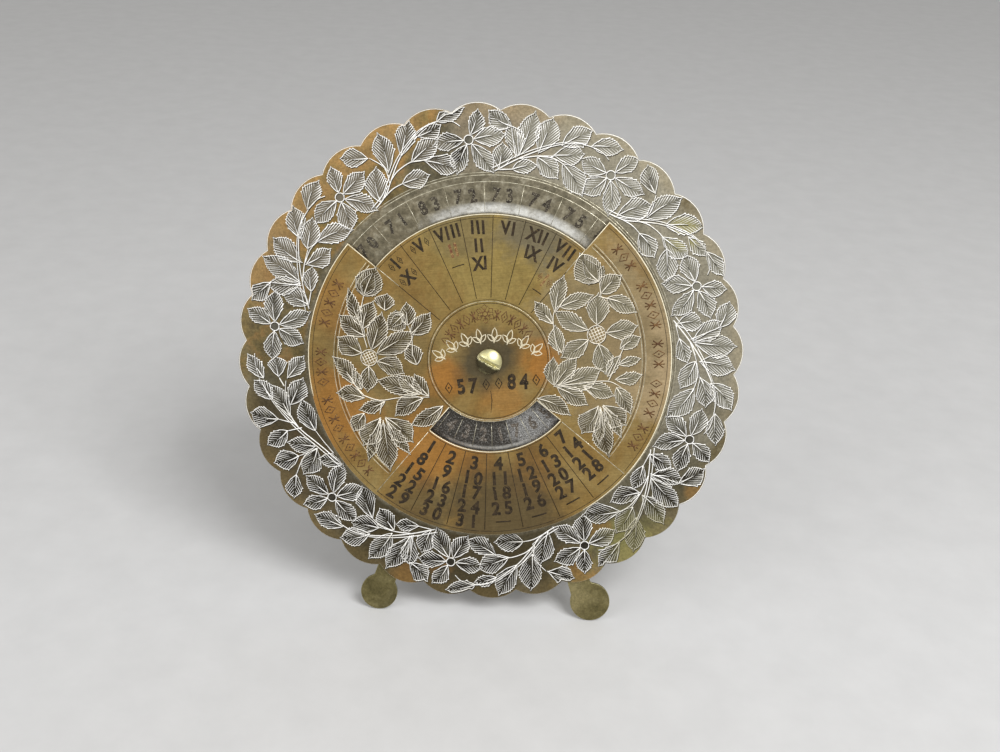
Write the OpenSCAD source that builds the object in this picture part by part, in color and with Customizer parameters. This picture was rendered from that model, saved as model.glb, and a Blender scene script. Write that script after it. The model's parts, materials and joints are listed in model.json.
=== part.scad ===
// Perpetual desk calendar of sheet brass.
// A scalloped plate carries the rings of years and weekdays. A smaller disc with two windows turns on a
// slotted screw in front of it, and lines a month up with a year. Two riveted legs and a hinged strut,
// all with round penny feet, stand the plate up, and the strut folds flat against its back.
// Every piece is built in the plate's own frame: X across, Y up the plate, Z out of its front face, and
// the middle of the front face at the origin. stand_up() then leans the whole calendar back on its feet.

/* [Plate] */
// Diameter of the back plate, over its scallops
plate_d = 165; // [140:1:200]
// Thickness of the back plate
plate_t = 1.0; // [0.8:0.1:1.6]
// Number of scallops round the plate's edge
scallops = 32; // [26:1:38]
// Radius that each scallop is filed to
scallop_r = 12; // [11:0.5:14]
// Angle of the first scallop from the plate's right-hand side
scallop_start = 4.5; // [0:0.5:11]
// Angle by which the hand-marked scallops wander from an even pitch
scallop_drift = 1.4; // [0:0.1:2]

/* [Turning disc] */
// Diameter of the turning disc
disc_d = 118.5; // [110:0.5:130]
// Thickness of the turning disc
disc_t = 0.8; // [0.6:0.1:1.2]
// Angle that each window spans: seven of the twenty-eight columns
window_angle = 90; // [77:1:100]
// Depth of the year window, from the disc's rim inwards
year_window_depth = 11.5; // [8:0.5:14]
// Radius of the weekday window's inner edge
day_window_r = 20.3; // [16:0.1:24]
// Width of the weekday window, from its inner to its outer edge
day_window_w = 10.1; // [6:0.1:12]
// Angle that the disc is turned from upright
disc_turned = 7.5; // [-30:0.5:30]

/* [Centre screw] */
// Diameter of the centre screw's shank
screw_d = 4; // [3:0.5:5]
// Diameter of its domed head
screw_head_d = 8.4; // [7:0.1:10]
// Height of the straight edge under the dome
screw_edge_h = 0.9; // [0.5:0.1:1.5]
// Height of the dome
screw_dome_h = 1.7; // [1.2:0.1:2.2]
// Width of the driver slot
slot_w = 1.2; // [0.8:0.1:1.6]
// Depth of the driver slot below the top of the dome
slot_depth = 1.6; // [1:0.1:2]
// Angle of the driver slot
slot_angle = -25; // [-90:5:90]
// How far the shank stands out behind the nut
screw_tail = 1.2; // [0.5:0.1:3]

/* [Washers and nut] */
// Diameter of the spacer washer between plate and disc
spacer_d = 14; // [11:0.5:18]
// Thickness of the spacer washer
spacer_t = 1.2; // [0.8:0.1:2]
// Diameter of the flat washer behind the plate
washer_d = 9; // [8:0.5:11]
// Thickness of the flat washer
washer_t = 0.8; // [0.5:0.1:1.2]
// Diameter of the split spring washer
spring_d = 7.6; // [6.5:0.1:8]
// Thickness of the split spring washer
spring_t = 0.9; // [0.7:0.1:1.2]
// Gap between the spring washer's two ends
spring_split = 0.8; // [0.4:0.1:1.2]
// Width of the nut across its flats
nut_af = 7; // [6.5:0.5:8]
// Height of the nut
nut_h = 3.2; // [2.2:0.1:4]

/* [Legs and feet] */
// Thickness of the legs and of the strut
leg_t = 1.0; // [0.8:0.1:1.5]
// Width of the legs and of the strut
leg_w = 7.5; // [6:0.5:9]
// Length of a leg, from the middle of its foot to its rounded top
leg_l = 46; // [40:1:55]
// Angle that each leg leans in towards the middle of the plate
leg_splay = 18; // [5:1:25]
// Diameter of the left front foot and of the strut's foot
foot_d = 12.4; // [11:0.2:16]
// Diameter of the right front foot, which is cut a little larger
right_foot_d = 13.4; // [11:0.2:16]
// How far the left foot's middle lies outside its leg's middle line
left_foot_out = 0.2; // [0:0.1:2]
// How far the right foot's middle lies outside its leg's middle line
right_foot_out = 1.8; // [0:0.1:2]
// Distance between the middles of the two front feet
foot_spread = 72; // [60:1:90]
// How far the pair of front feet sits to the right of the plate's middle
foot_offset = 1.9; // [-3:0.1:3]
// How far the front feet reach below the scallops
foot_drop = 6.4; // [4:0.2:10]
// Radius of the fillets between strip and foot
neck_r = 1; // [0.5:0.5:3]

/* [Stand] */
// Angle that the plate leans back from upright
lean = 15; // [8:1:20]
// Angle that the strut swings out from the plate, up to its stop
strut_swing = 30; // [26:1:38]
// Distance of the strut's hinge pin below the middle of the plate
hinge_drop = 18; // [17:0.5:26]

/* [Strut hinge] */
// Width of the hinge, along its pin
hinge_w = 15; // [13:0.5:20]
// Width of the strut's own knuckle, between the two fixed ones
knuckle_w = 5.6; // [4:0.2:7]
// Thickness of the hinge's sheet
leaf_t = 0.8; // [0.6:0.1:1]
// Length of each leaf, from the pin to its end
leaf_l = 10.5; // [10:0.5:12]
// Radius of the leaves' corners
leaf_corner_r = 1.5; // [0.5:0.5:2.5]
// Diameter of the hinge pin
pin_d = 1.6; // [1.2:0.1:2.4]
// Diameter of the pin's peened ends
pin_head_d = 2.6; // [2.5:0.1:3]
// Height of the pin's peened ends
pin_head_h = 0.5; // [0.3:0.1:1]
// Length of the heel that stops the strut, from the pin to the heel's end
heel_l = 5; // [4:0.5:6]

/* [Rivets] */
// Diameter of the rivets' shanks
rivet_d = 2; // [1.5:0.1:2.4]
// Diameter of the rivets' heads, flush in front and domed behind
rivet_head_d = 3.4; // [2.8:0.1:4]
// Depth of the flush heads
rivet_sink = 0.5; // [0.3:0.05:0.55]
// Height of the domed heads
rivet_dome_h = 0.8; // [0.5:0.1:1.2]
// Distance between a leg's two rivets
leg_rivet_pitch = 8; // [6:0.5:12]
// Distance between the fixed leaf's two rivets
leaf_rivet_pitch = 9.5; // [9:0.5:10.5]
// Distance of each leaf's outer rivet from the leaf's end
leaf_rivet_inset = 2.6; // [2.2:0.1:3]
// Gap between the heads of the moving leaf's two rivets
strut_rivet_gap = 0.6; // [0.4:0.1:0.8]

/* [Fits] */
// Clearance round the screw and the pin where a piece turns on them
turn_clear = 0.05; // [0.02:0.01:0.1]
// Clearance between the disc's faces and what it turns between
face_clear = 0.05; // [0.02:0.01:0.2]
// Clearance of the holes that only the screw's shank passes through
hole_clear = 0.1; // [0.05:0.05:0.3]
// Clearance of the rivets in their holes, and of the pin in the fixed knuckles
press_clear = 0.02; // [0.01:0.01:0.05]
// Gap between neighbouring knuckles, and between a knuckle and the leaf cut round it
knuckle_gap = 0.2; // [0.15:0.05:0.4]
// Gap between the folded strut's leaf and the plate
fold_gap = 0.15; // [0.1:0.05:0.4]
// Gap between the heel and the fixed leaf with the strut swung out
heel_gap = 0.05; // [0.02:0.01:0.1]

/* [Hidden] */
$fn = 96;
cut = 1;                                    // how far a cutter reaches past what it cuts
full_turn = 360;
drift_peak = 61;                            // where round the plate the scallops wander most
neck_lap = 0.01;                            // how far a neck's fillet bites into the foot's edge

// Layers along Z, from the front to the back
disc_back = spacer_t + face_clear;
disc_front = disc_back + disc_t;
head_seat = disc_front + face_clear;
plate_back = -plate_t;
washer_back = plate_back - washer_t;
spring_back = washer_back - spring_t;
nut_back = spring_back - nut_h;

// Hinge: the knuckles are the leaf's own sheet, rolled round the pin
knuckle_bore_r = pin_d / 2 + turn_clear;
knuckle_r = knuckle_bore_r + leaf_t;
pin_y = -hinge_drop;
pin_z = plate_back - knuckle_r;
fixed_knuckle_w = (hinge_w - knuckle_w) / 2 - knuckle_gap;
leaf_rivet_y = leaf_l - leaf_rivet_inset;
strut_leaf_front = knuckle_r - fold_gap;
strut_front = strut_leaf_front - leaf_t;
strut_top = knuckle_r + knuckle_gap;
strut_rivet_drops = [leaf_rivet_y, leaf_rivet_y - rivet_head_d - strut_rivet_gap];

// Stance: the front feet and the strut's foot touch the table at the same height
foot_bottom = plate_d / 2 + foot_drop;
stand_z = foot_bottom * cos(lean) - (plate_back - leg_t) * sin(lean);
pin_height = stand_z + pin_y * cos(lean) + pin_z * sin(lean);
strut_tilt = strut_swing - lean;
strut_reach = (pin_height - strut_front * sin(strut_tilt)) / cos(strut_tilt);
strut_l = strut_reach - foot_d / 2;

// Depth of the whole calendar, so that it stands over the origin
feet_front = -foot_bottom * sin(lean) - plate_back * cos(lean);
plate_foremost = -plate_d / 2 * sin(lean);
disc_foremost = -disc_d / 2 * sin(lean) - disc_front * cos(lean);
plate_rearmost = plate_d / 2 * sin(lean) - plate_back * cos(lean);
pin_depth = pin_y * sin(lean) - pin_z * cos(lean);
strut_rearmost = pin_depth + strut_reach * sin(strut_tilt) - (strut_front - leg_t) * cos(strut_tilt);
foremost = min(feet_front, plate_foremost, disc_foremost);
rearmost = max(plate_rearmost, strut_rearmost);
stand_y = -(foremost + rearmost) / 2;

// ---------------------------------------------------------------- shared shapes

// Leans the calendar back and lifts it so that its feet stand on the table
module stand_up() {
    translate([0, stand_y, stand_z])
        rotate([90 - lean, 0, 0])
            children();
}

// Puts the strut's pieces on the hinge pin, swung out to the stop
module on_hinge() {
    translate([0, pin_y, pin_z])
        rotate([strut_swing, 0, 0])
            children();
}

// Low dome that stands on Z = 0
module dome(d, h) {
    ball_r = (d * d / 4 + h * h) / (2 * h);
    intersection() {
        translate([0, 0, h - ball_r])
            sphere(r = ball_r);
        translate([-d, -d, 0])
            cube([2 * d, 2 * d, h + cut]);
    }
}

// Flat ring
module ring(outer_d, inner_d, thickness) {
    difference() {
        cylinder(d = outer_d, h = thickness);
        translate([0, 0, -cut])
            cylinder(d = inner_d, h = thickness + 2 * cut);
    }
}

// Rivet set into Z = 0 with its head flush, its shank through the grip and its tail domed behind
module rivet(grip) {
    translate([0, 0, -rivet_sink])
        cylinder(d1 = rivet_d, d2 = rivet_head_d - 2 * press_clear, h = rivet_sink);
    translate([0, 0, -grip])
        cylinder(d = rivet_d, h = grip - rivet_sink / 2);
    translate([0, 0, -grip])
        mirror([0, 0, 1])
            dome(rivet_head_d, rivet_dome_h);
}

// Countersunk hole that the rivet fills
module rivet_hole(grip) {
    translate([0, 0, -rivet_sink])
        cylinder(d1 = rivet_d + 2 * press_clear, d2 = rivet_head_d, h = rivet_sink);
    translate([0, 0, -grip - cut])
        cylinder(d = rivet_d + 2 * press_clear, h = grip + 2 * cut);
}

// Rectangle with its lower edge on Y = 0 and rounded upper corners
module leaf_outline(w, h, r) {
    translate([-w / 2, 0])
        square([w, h - r]);
    translate([r - w / 2, 0])
        square([w - 2 * r, h]);
    for (side = [-1, 1])
        translate([side * (w / 2 - r), h - r])
            circle(r = r);
}

// Fillet in the corner between a foot and one edge of its strip
module neck_fillet(side, foot, strip_x) {
    fillet_x = strip_x + side * (leg_w / 2 + neck_r);
    apart = foot / 2 + neck_r - neck_lap;
    fillet_y = sqrt(max(0, apart * apart - fillet_x * fillet_x));
    past_middle = strip_x - side * leg_w / 3;
    difference() {
        linear_extrude(height = leg_t)
            polygon([[0, 0], [fillet_x, fillet_y], [past_middle, fillet_y], [past_middle, 0]]);
        translate([fillet_x, fillet_y, -cut])
            cylinder(r = neck_r, h = leg_t + 2 * cut);
    }
}

// Strip that runs up from a penny foot. The foot's middle is the origin, the strip's middle line is at
// strip_x and its front face is on Z = 0.
module penny_strip(length, foot, strip_x, round_top) {
    top = round_top ? length - leg_w / 2 : length;
    translate([0, 0, -leg_t]) {
        cylinder(d = foot, h = leg_t);
        translate([strip_x - leg_w / 2, 0, 0])
            cube([leg_w, top, leg_t]);
        if (round_top)
            translate([strip_x, top, 0])
                cylinder(d = leg_w, h = leg_t);
        for (side = [-1, 1])
            neck_fillet(side, foot, strip_x);
    }
}

// ---------------------------------------------------------------- plate and disc

// Edge of the plate: one arc a scallop, at the wandering pitch of hand marking
module scalloped_outline() {
    arc_centre_r = plate_d / 2 - scallop_r;
    circle(r = arc_centre_r);
    for (i = [0 : scallops - 1]) {
        even = scallop_start + i * full_turn / scallops;
        rotate(even + scallop_drift * cos(even - drift_peak))
            translate([arc_centre_r, 0])
                circle(r = scallop_r);
    }
}

// Foot and strip of the left (-1) or right (1) leg
function front_foot_d(side) = side < 0 ? foot_d : right_foot_d;
function front_strip_x(side) = side < 0 ? left_foot_out : -right_foot_out;

// Where a leg's foot sits, and where its rivets do
module on_leg(side) {
    foot_y = front_foot_d(side) / 2 - foot_bottom;
    translate([side * foot_spread / 2 + foot_offset, foot_y, plate_back])
        rotate(side * leg_splay)
            children();
}

module at_leg_rivets(side) {
    for (i = [0, 1])
        on_leg(side)
            translate([front_strip_x(side), leg_l - leg_w / 2 - i * leg_rivet_pitch, plate_t])
                children();
}

module at_leaf_rivets() {
    for (side = [-1, 1])
        translate([side * leaf_rivet_pitch / 2, pin_y + leaf_rivet_y, 0])
            children();
}

module back_plate() {
    color([0.44, 0.38, 0.22])
        stand_up()
            difference() {
                translate([0, 0, plate_back])
                    linear_extrude(height = plate_t)
                        scalloped_outline();
                translate([0, 0, plate_back - cut])
                    cylinder(d = screw_d + 2 * hole_clear, h = plate_t + 2 * cut);
                for (side = [-1, 1])
                    at_leg_rivets(side)
                        rivet_hole(plate_t);
                at_leaf_rivets()
                    rivet_hole(plate_t);
            }
}

// Window sawn through the disc: a sector of a ring, centred on straight up
module window(inner_r, outer_r) {
    rotate(90 - window_angle / 2)
        rotate_extrude(angle = window_angle)
            translate([inner_r, -cut])
                square([outer_r - inner_r, disc_t + 2 * cut]);
}

module front_disc() {
    disc_r = disc_d / 2;
    color([0.72, 0.52, 0.20])
        stand_up()
            translate([0, 0, disc_back])
                rotate(disc_turned)
                    difference() {
                        cylinder(r = disc_r, h = disc_t);
                        window(disc_r - year_window_depth, disc_r + year_window_depth);
                        rotate(full_turn / 2)
                            window(day_window_r, day_window_r + day_window_w);
                        translate([0, 0, -cut])
                            cylinder(d = screw_d + 2 * turn_clear, h = disc_t + 2 * cut);
                    }
}

// ---------------------------------------------------------------- screw, washers and nut

module centre_screw() {
    head_top = head_seat + screw_edge_h + screw_dome_h;
    tail_end = nut_back - screw_tail;
    color([0.86, 0.78, 0.42])
        stand_up()
            difference() {
                union() {
                    translate([0, 0, tail_end])
                        cylinder(d = screw_d, h = head_seat - tail_end + cut / 2);
                    translate([0, 0, head_seat])
                        cylinder(d = screw_head_d, h = screw_edge_h);
                    translate([0, 0, head_seat + screw_edge_h])
                        dome(screw_head_d, screw_dome_h);
                }
                rotate(slot_angle)
                    translate([-screw_head_d, -slot_w / 2, head_top - slot_depth])
                        cube([2 * screw_head_d, slot_w, slot_depth + cut]);
            }
}

module spacer_washer() {
    color([0.62, 0.50, 0.26])
        stand_up()
            ring(spacer_d, screw_d + 2 * hole_clear, spacer_t);
}

module back_washer() {
    color([0.66, 0.54, 0.28])
        stand_up()
            translate([0, 0, washer_back])
                ring(washer_d, screw_d + 2 * hole_clear, washer_t);
}

module spring_washer() {
    color([0.55, 0.55, 0.56])
        stand_up()
            translate([0, 0, spring_back])
                difference() {
                    ring(spring_d, screw_d + 2 * hole_clear, spring_t);
                    translate([0, -spring_split / 2, -cut])
                        cube([spring_d, spring_split, spring_t + 2 * cut]);
                }
}

module centre_nut() {
    corner_d = nut_af / cos(30);
    chamfer = (corner_d - nut_af) / 2;
    color([0.66, 0.54, 0.28])
        stand_up()
            translate([0, 0, nut_back])
                difference() {
                    intersection() {
                        cylinder(d = corner_d, h = nut_h, $fn = 6);
                        union() {
                            cylinder(d1 = nut_af, d2 = corner_d + chamfer, h = chamfer);
                            translate([0, 0, chamfer])
                                cylinder(d = corner_d + chamfer, h = nut_h);
                        }
                    }
                    translate([0, 0, -cut])
                        cylinder(d = screw_d + 2 * press_clear, h = nut_h + 2 * cut);
                }
}

// ---------------------------------------------------------------- legs

module leg(side) {
    color([0.50, 0.45, 0.24])
        stand_up()
            difference() {
                on_leg(side)
                    penny_strip(leg_l, front_foot_d(side), front_strip_x(side), true);
                at_leg_rivets(side)
                    rivet_hole(plate_t + leg_t);
            }
}

module leg_rivets(side) {
    color([0.66, 0.54, 0.28])
        stand_up()
            at_leg_rivets(side)
                rivet(plate_t + leg_t);
}

// ---------------------------------------------------------------- hinge and strut

// Knuckle round the pin, centred on X = 0 and running along X
module knuckle(w) {
    translate([-w / 2, 0, 0])
        rotate([0, 90, 0])
            cylinder(r = knuckle_r, h = w);
}

// Bore along the whole hinge
module pin_bore(clearance) {
    translate([-hinge_w, 0, 0])
        rotate([0, 90, 0])
            cylinder(d = pin_d + 2 * clearance, h = 2 * hinge_w);
}

// Fixed leaf: above the pin, riveted flat to the plate, with a knuckle at each end
module hinge_leaf() {
    notch_w = knuckle_w + 2 * knuckle_gap;
    color([0.62, 0.50, 0.26])
        stand_up()
            difference() {
                translate([0, pin_y, pin_z])
                    difference() {
                        union() {
                            translate([0, 0, knuckle_r - leaf_t])
                                linear_extrude(height = leaf_t)
                                    leaf_outline(hinge_w, leaf_l, leaf_corner_r);
                            for (side = [-1, 1])
                                translate([side * (hinge_w - fixed_knuckle_w) / 2, 0, 0])
                                    knuckle(fixed_knuckle_w);
                        }
                        pin_bore(press_clear);
                        translate([-notch_w / 2, -knuckle_r - cut, -knuckle_r - cut])
                            cube([notch_w, 2 * knuckle_r + knuckle_gap + cut, 2 * knuckle_r + 2 * cut]);
                    }
                at_leaf_rivets()
                    rivet_hole(plate_t + leaf_t);
            }
}

module hinge_leaf_rivets() {
    color([0.66, 0.54, 0.28])
        stand_up()
            at_leaf_rivets()
                rivet(plate_t + leaf_t);
}

module hinge_pin() {
    color([0.52, 0.52, 0.53])
        stand_up()
            translate([0, pin_y, pin_z]) {
                translate([-hinge_w / 2, 0, 0])
                    rotate([0, 90, 0])
                        cylinder(d = pin_d, h = hinge_w);
                for (side = [-1, 1])
                    translate([side * hinge_w / 2, 0, 0])
                        rotate([0, side * 90, 0])
                            dome(pin_head_d, pin_head_h);
            }
}

module at_strut_rivets() {
    for (drop = strut_rivet_drops)
        translate([0, -drop, strut_leaf_front])
            children();
}

// Moving leaf: below the pin, with the middle knuckle and the heel that meets the fixed leaf
module strut_leaf() {
    side_w = (hinge_w - knuckle_w) / 2;
    side_cut = [side_w + cut, 2 * (knuckle_r + knuckle_gap), 4 * knuckle_r];
    color([0.62, 0.50, 0.26])
        stand_up()
            on_hinge()
                difference() {
                    union() {
                        translate([0, 0, strut_leaf_front - leaf_t])
                            linear_extrude(height = leaf_t)
                                mirror([0, 1])
                                    leaf_outline(hinge_w, leaf_l, leaf_corner_r);
                        knuckle(knuckle_w);
                        rotate([-strut_swing, 0, 0])
                            translate([-knuckle_w / 2, 0, knuckle_bore_r - heel_gap - leaf_t])
                                cube([knuckle_w, heel_l, leaf_t]);
                    }
                    pin_bore(turn_clear);
                    for (side = [-1, 1])
                        translate([side * (knuckle_w + side_w + cut) / 2, 0, 0])
                            cube(side_cut, center = true);
                    at_strut_rivets()
                        rivet_hole(leaf_t + leg_t);
                }
}

// Folding strut: the third leg, behind the moving leaf
module strut() {
    color([0.50, 0.45, 0.24])
        stand_up()
            on_hinge()
                difference() {
                    translate([0, -strut_l, strut_front])
                        penny_strip(strut_l - strut_top, foot_d, 0, false);
                    at_strut_rivets()
                        rivet_hole(leaf_t + leg_t);
                }
}

module strut_rivets() {
    color([0.66, 0.54, 0.28])
        stand_up()
            on_hinge()
                at_strut_rivets()
                    rivet(leaf_t + leg_t);
}

back_plate();
front_disc();
centre_screw();
spacer_washer();
back_washer();
spring_washer();
centre_nut();
leg(-1);  // left_leg
leg(1);  // right_leg
leg_rivets(-1);  // left_leg_rivets
leg_rivets(1);  // right_leg_rivets
hinge_leaf();
hinge_leaf_rivets();
hinge_pin();
strut_leaf();
strut();
strut_rivets();
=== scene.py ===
import json
import math
import random

import bpy
from mathutils import Matrix, Vector


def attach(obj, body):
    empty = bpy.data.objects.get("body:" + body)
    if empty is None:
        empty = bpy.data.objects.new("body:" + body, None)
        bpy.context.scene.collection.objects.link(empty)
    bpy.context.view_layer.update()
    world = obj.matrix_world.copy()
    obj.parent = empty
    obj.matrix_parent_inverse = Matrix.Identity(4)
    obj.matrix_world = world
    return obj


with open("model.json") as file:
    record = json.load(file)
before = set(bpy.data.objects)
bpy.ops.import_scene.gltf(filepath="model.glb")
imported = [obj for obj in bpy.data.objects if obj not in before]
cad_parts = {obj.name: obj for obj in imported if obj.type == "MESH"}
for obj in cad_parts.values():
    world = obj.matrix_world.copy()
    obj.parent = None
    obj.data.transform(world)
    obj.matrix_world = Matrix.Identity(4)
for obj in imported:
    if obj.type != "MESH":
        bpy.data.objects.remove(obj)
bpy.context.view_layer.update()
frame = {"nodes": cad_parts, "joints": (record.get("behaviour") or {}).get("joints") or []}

bpy.ops.object.select_all(action="DESELECT")


# ---------------------------------------------------------------- back plate
# A round plate of 1 mm sheet brass with its edge filed into scallops, and the legs, the hinge and the screw
# all fixed to it. The sheet has darkened to olive brown, with orange stains on its left side and a paler
# bloom on its right, and the filed edge has worn bright. Painted shade darkens it below the disc, and
# painted highlights lie beside the windows and along the filed edge on the side towards the lamp.

disc_turn = next(joint for joint in frame["joints"] if joint["name"] == "disc_turn")
plate_middle = Vector(disc_turn["pos_m"])
plate_normal = Vector(disc_turn["axis"])
lean = math.asin(plate_normal.z)
MM = 0.001


def add_node(kind, inputs, tree=None, **settings):
    """Adds a shader node. An input given as a socket is linked, and any other is set to its value."""
    links = {key: value for key, value in inputs.items() if isinstance(value, bpy.types.NodeSocket)}
    tree = tree or next(iter(links.values())).id_data
    node = tree.nodes.new("ShaderNode" + kind)
    for key, value in settings.items():
        setattr(node, key, value)
    for key, value in inputs.items():
        if key in links:
            tree.links.new(value, node.inputs[key])
        else:
            node.inputs[key].default_value = value
    return node


def new_finish(name, metallic, specular=0.5, turned=0.0):
    """A new material, and the place in millimetres on a plate turned so far: X across, Y up its face and Z
    out of it."""
    material = bpy.data.materials.new(name)
    material.use_nodes = True
    shader = material.node_tree.nodes["Principled BSDF"]
    shader.inputs["Metallic"].default_value = metallic
    shader.inputs["Specular IOR Level"].default_value = specular
    place = add_node("TexCoord", {}, material.node_tree).outputs["Object"]
    upright = (math.pi / 2 - lean, 0, 0)
    inputs = {"Vector": place, "Location": plate_middle, "Rotation": upright, "Scale": (MM, MM, MM)}
    place = add_node("Mapping", inputs, vector_type="TEXTURE").outputs["Vector"]
    inputs = {"Vector": place, "Rotation": (0, 0, turned)}
    return material, add_node("Mapping", inputs, vector_type="TEXTURE").outputs["Vector"]


def squeezed(place, scale, turn):
    """The same place, turned in the plate and squeezed, for a pattern that runs one way."""
    return add_node("Mapping", {"Vector": place, "Rotation": (0, 0, turn), "Scale": scale}).outputs["Vector"]


def noise(place, scale, detail=3.0, roughness=0.55, distortion=0.0):
    inputs = {"Vector": place, "Scale": scale, "Detail": detail, "Roughness": roughness,
              "Distortion": distortion}
    return add_node("TexNoise", inputs).outputs["Fac"]


def ramp(fac, *stops):
    """Colour ramp through (position, colour) stops. A plain number stands for that grey."""
    node = add_node("ValToRGB", {"Fac": fac})
    elements = node.color_ramp.elements
    while len(elements) < len(stops):
        elements.new(0.5)
    for element, (position, colour) in zip(elements, stops):
        element.position = position
        element.color = (*colour, 1) if isinstance(colour, tuple) else (colour, colour, colour, 1)
    return node.outputs["Color"]


def mix(fac, a, b, blend="MIX"):
    b = (*b, 1) if isinstance(b, tuple) else b
    return add_node("Mix", {0: fac, 6: a, 7: b}, data_type="RGBA", blend_type=blend).outputs[2]


def maths(operation, a, b, clamp=False):
    return add_node("Math", {0: a, 1: b}, operation=operation, use_clamp=clamp).outputs[0]


def vector(operation, a, b=(0, 0, 0)):
    outputs = add_node("VectorMath", {0: a, 1: b}, operation=operation).outputs
    return outputs["Value" if operation in ("LENGTH", "DOT_PRODUCT") else "Vector"]


def height_of(place):
    return add_node("SeparateXYZ", {0: place}).outputs["Z"]


def spot(place, middle, radius, share, ragged=1.4, grain=0.12):
    """Soft patch on the plate with a ragged edge: share in its middle and 0 outside."""
    reach = vector("LENGTH", vector("MULTIPLY", vector("SUBTRACT", place, (*middle, 0)), (1, 1, 0)))
    wobble = maths("MULTIPLY", maths("SUBTRACT", noise(place, grain, 5, 0.65), 0.5), ragged)
    near = maths("SUBTRACT", 1.0, maths("ADD", maths("DIVIDE", reach, radius), wobble))
    return maths("MULTIPLY", maths("MULTIPLY", near, 2.0, clamp=True), share)


def spotted(place, colour, *spots):
    """Lays soft spots over a colour in turn: each has its middle, radius, share, tint and raggedness."""
    for middle, radius, share, tint, *ragged in spots:
        colour = mix(spot(place, middle, radius, share, *ragged), colour, tint)
    return colour


def dress(material, colour, roughness, relief, strength=0.3, depth=0.02, edge=None, edge_reach=0.2):
    """Links up a finish: colour, roughness, fine relief and, if given, the bright tone of edges worn by
    handling. Gives back the material."""
    tree = material.node_tree
    inputs = {"Height": relief, "Strength": strength, "Distance": depth * MM}
    if edge is not None:
        rounded = add_node("Bevel", {"Radius": edge_reach * MM}, tree, samples=4).outputs["Normal"]
        alike = vector("DOT_PRODUCT", rounded, add_node("NewGeometry", {}, tree).outputs["Normal"])
        worn = maths("MULTIPLY", maths("SUBTRACT", 1.0, alike), 6.0, clamp=True)
        colour = mix(worn, colour, edge)
        inputs["Normal"] = rounded
    shader = tree.nodes["Principled BSDF"]
    tree.links.new(colour, shader.inputs["Base Color"])
    tree.links.new(roughness, shader.inputs["Roughness"])
    tree.links.new(add_node("Bump", inputs).outputs["Normal"], shader.inputs["Normal"])
    return material


def give(material, *node_names):
    """Gives solid pieces their finish."""
    for node_name in node_names:
        materials = frame["nodes"][node_name].data.materials
        materials.clear()
        materials.append(material)


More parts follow.
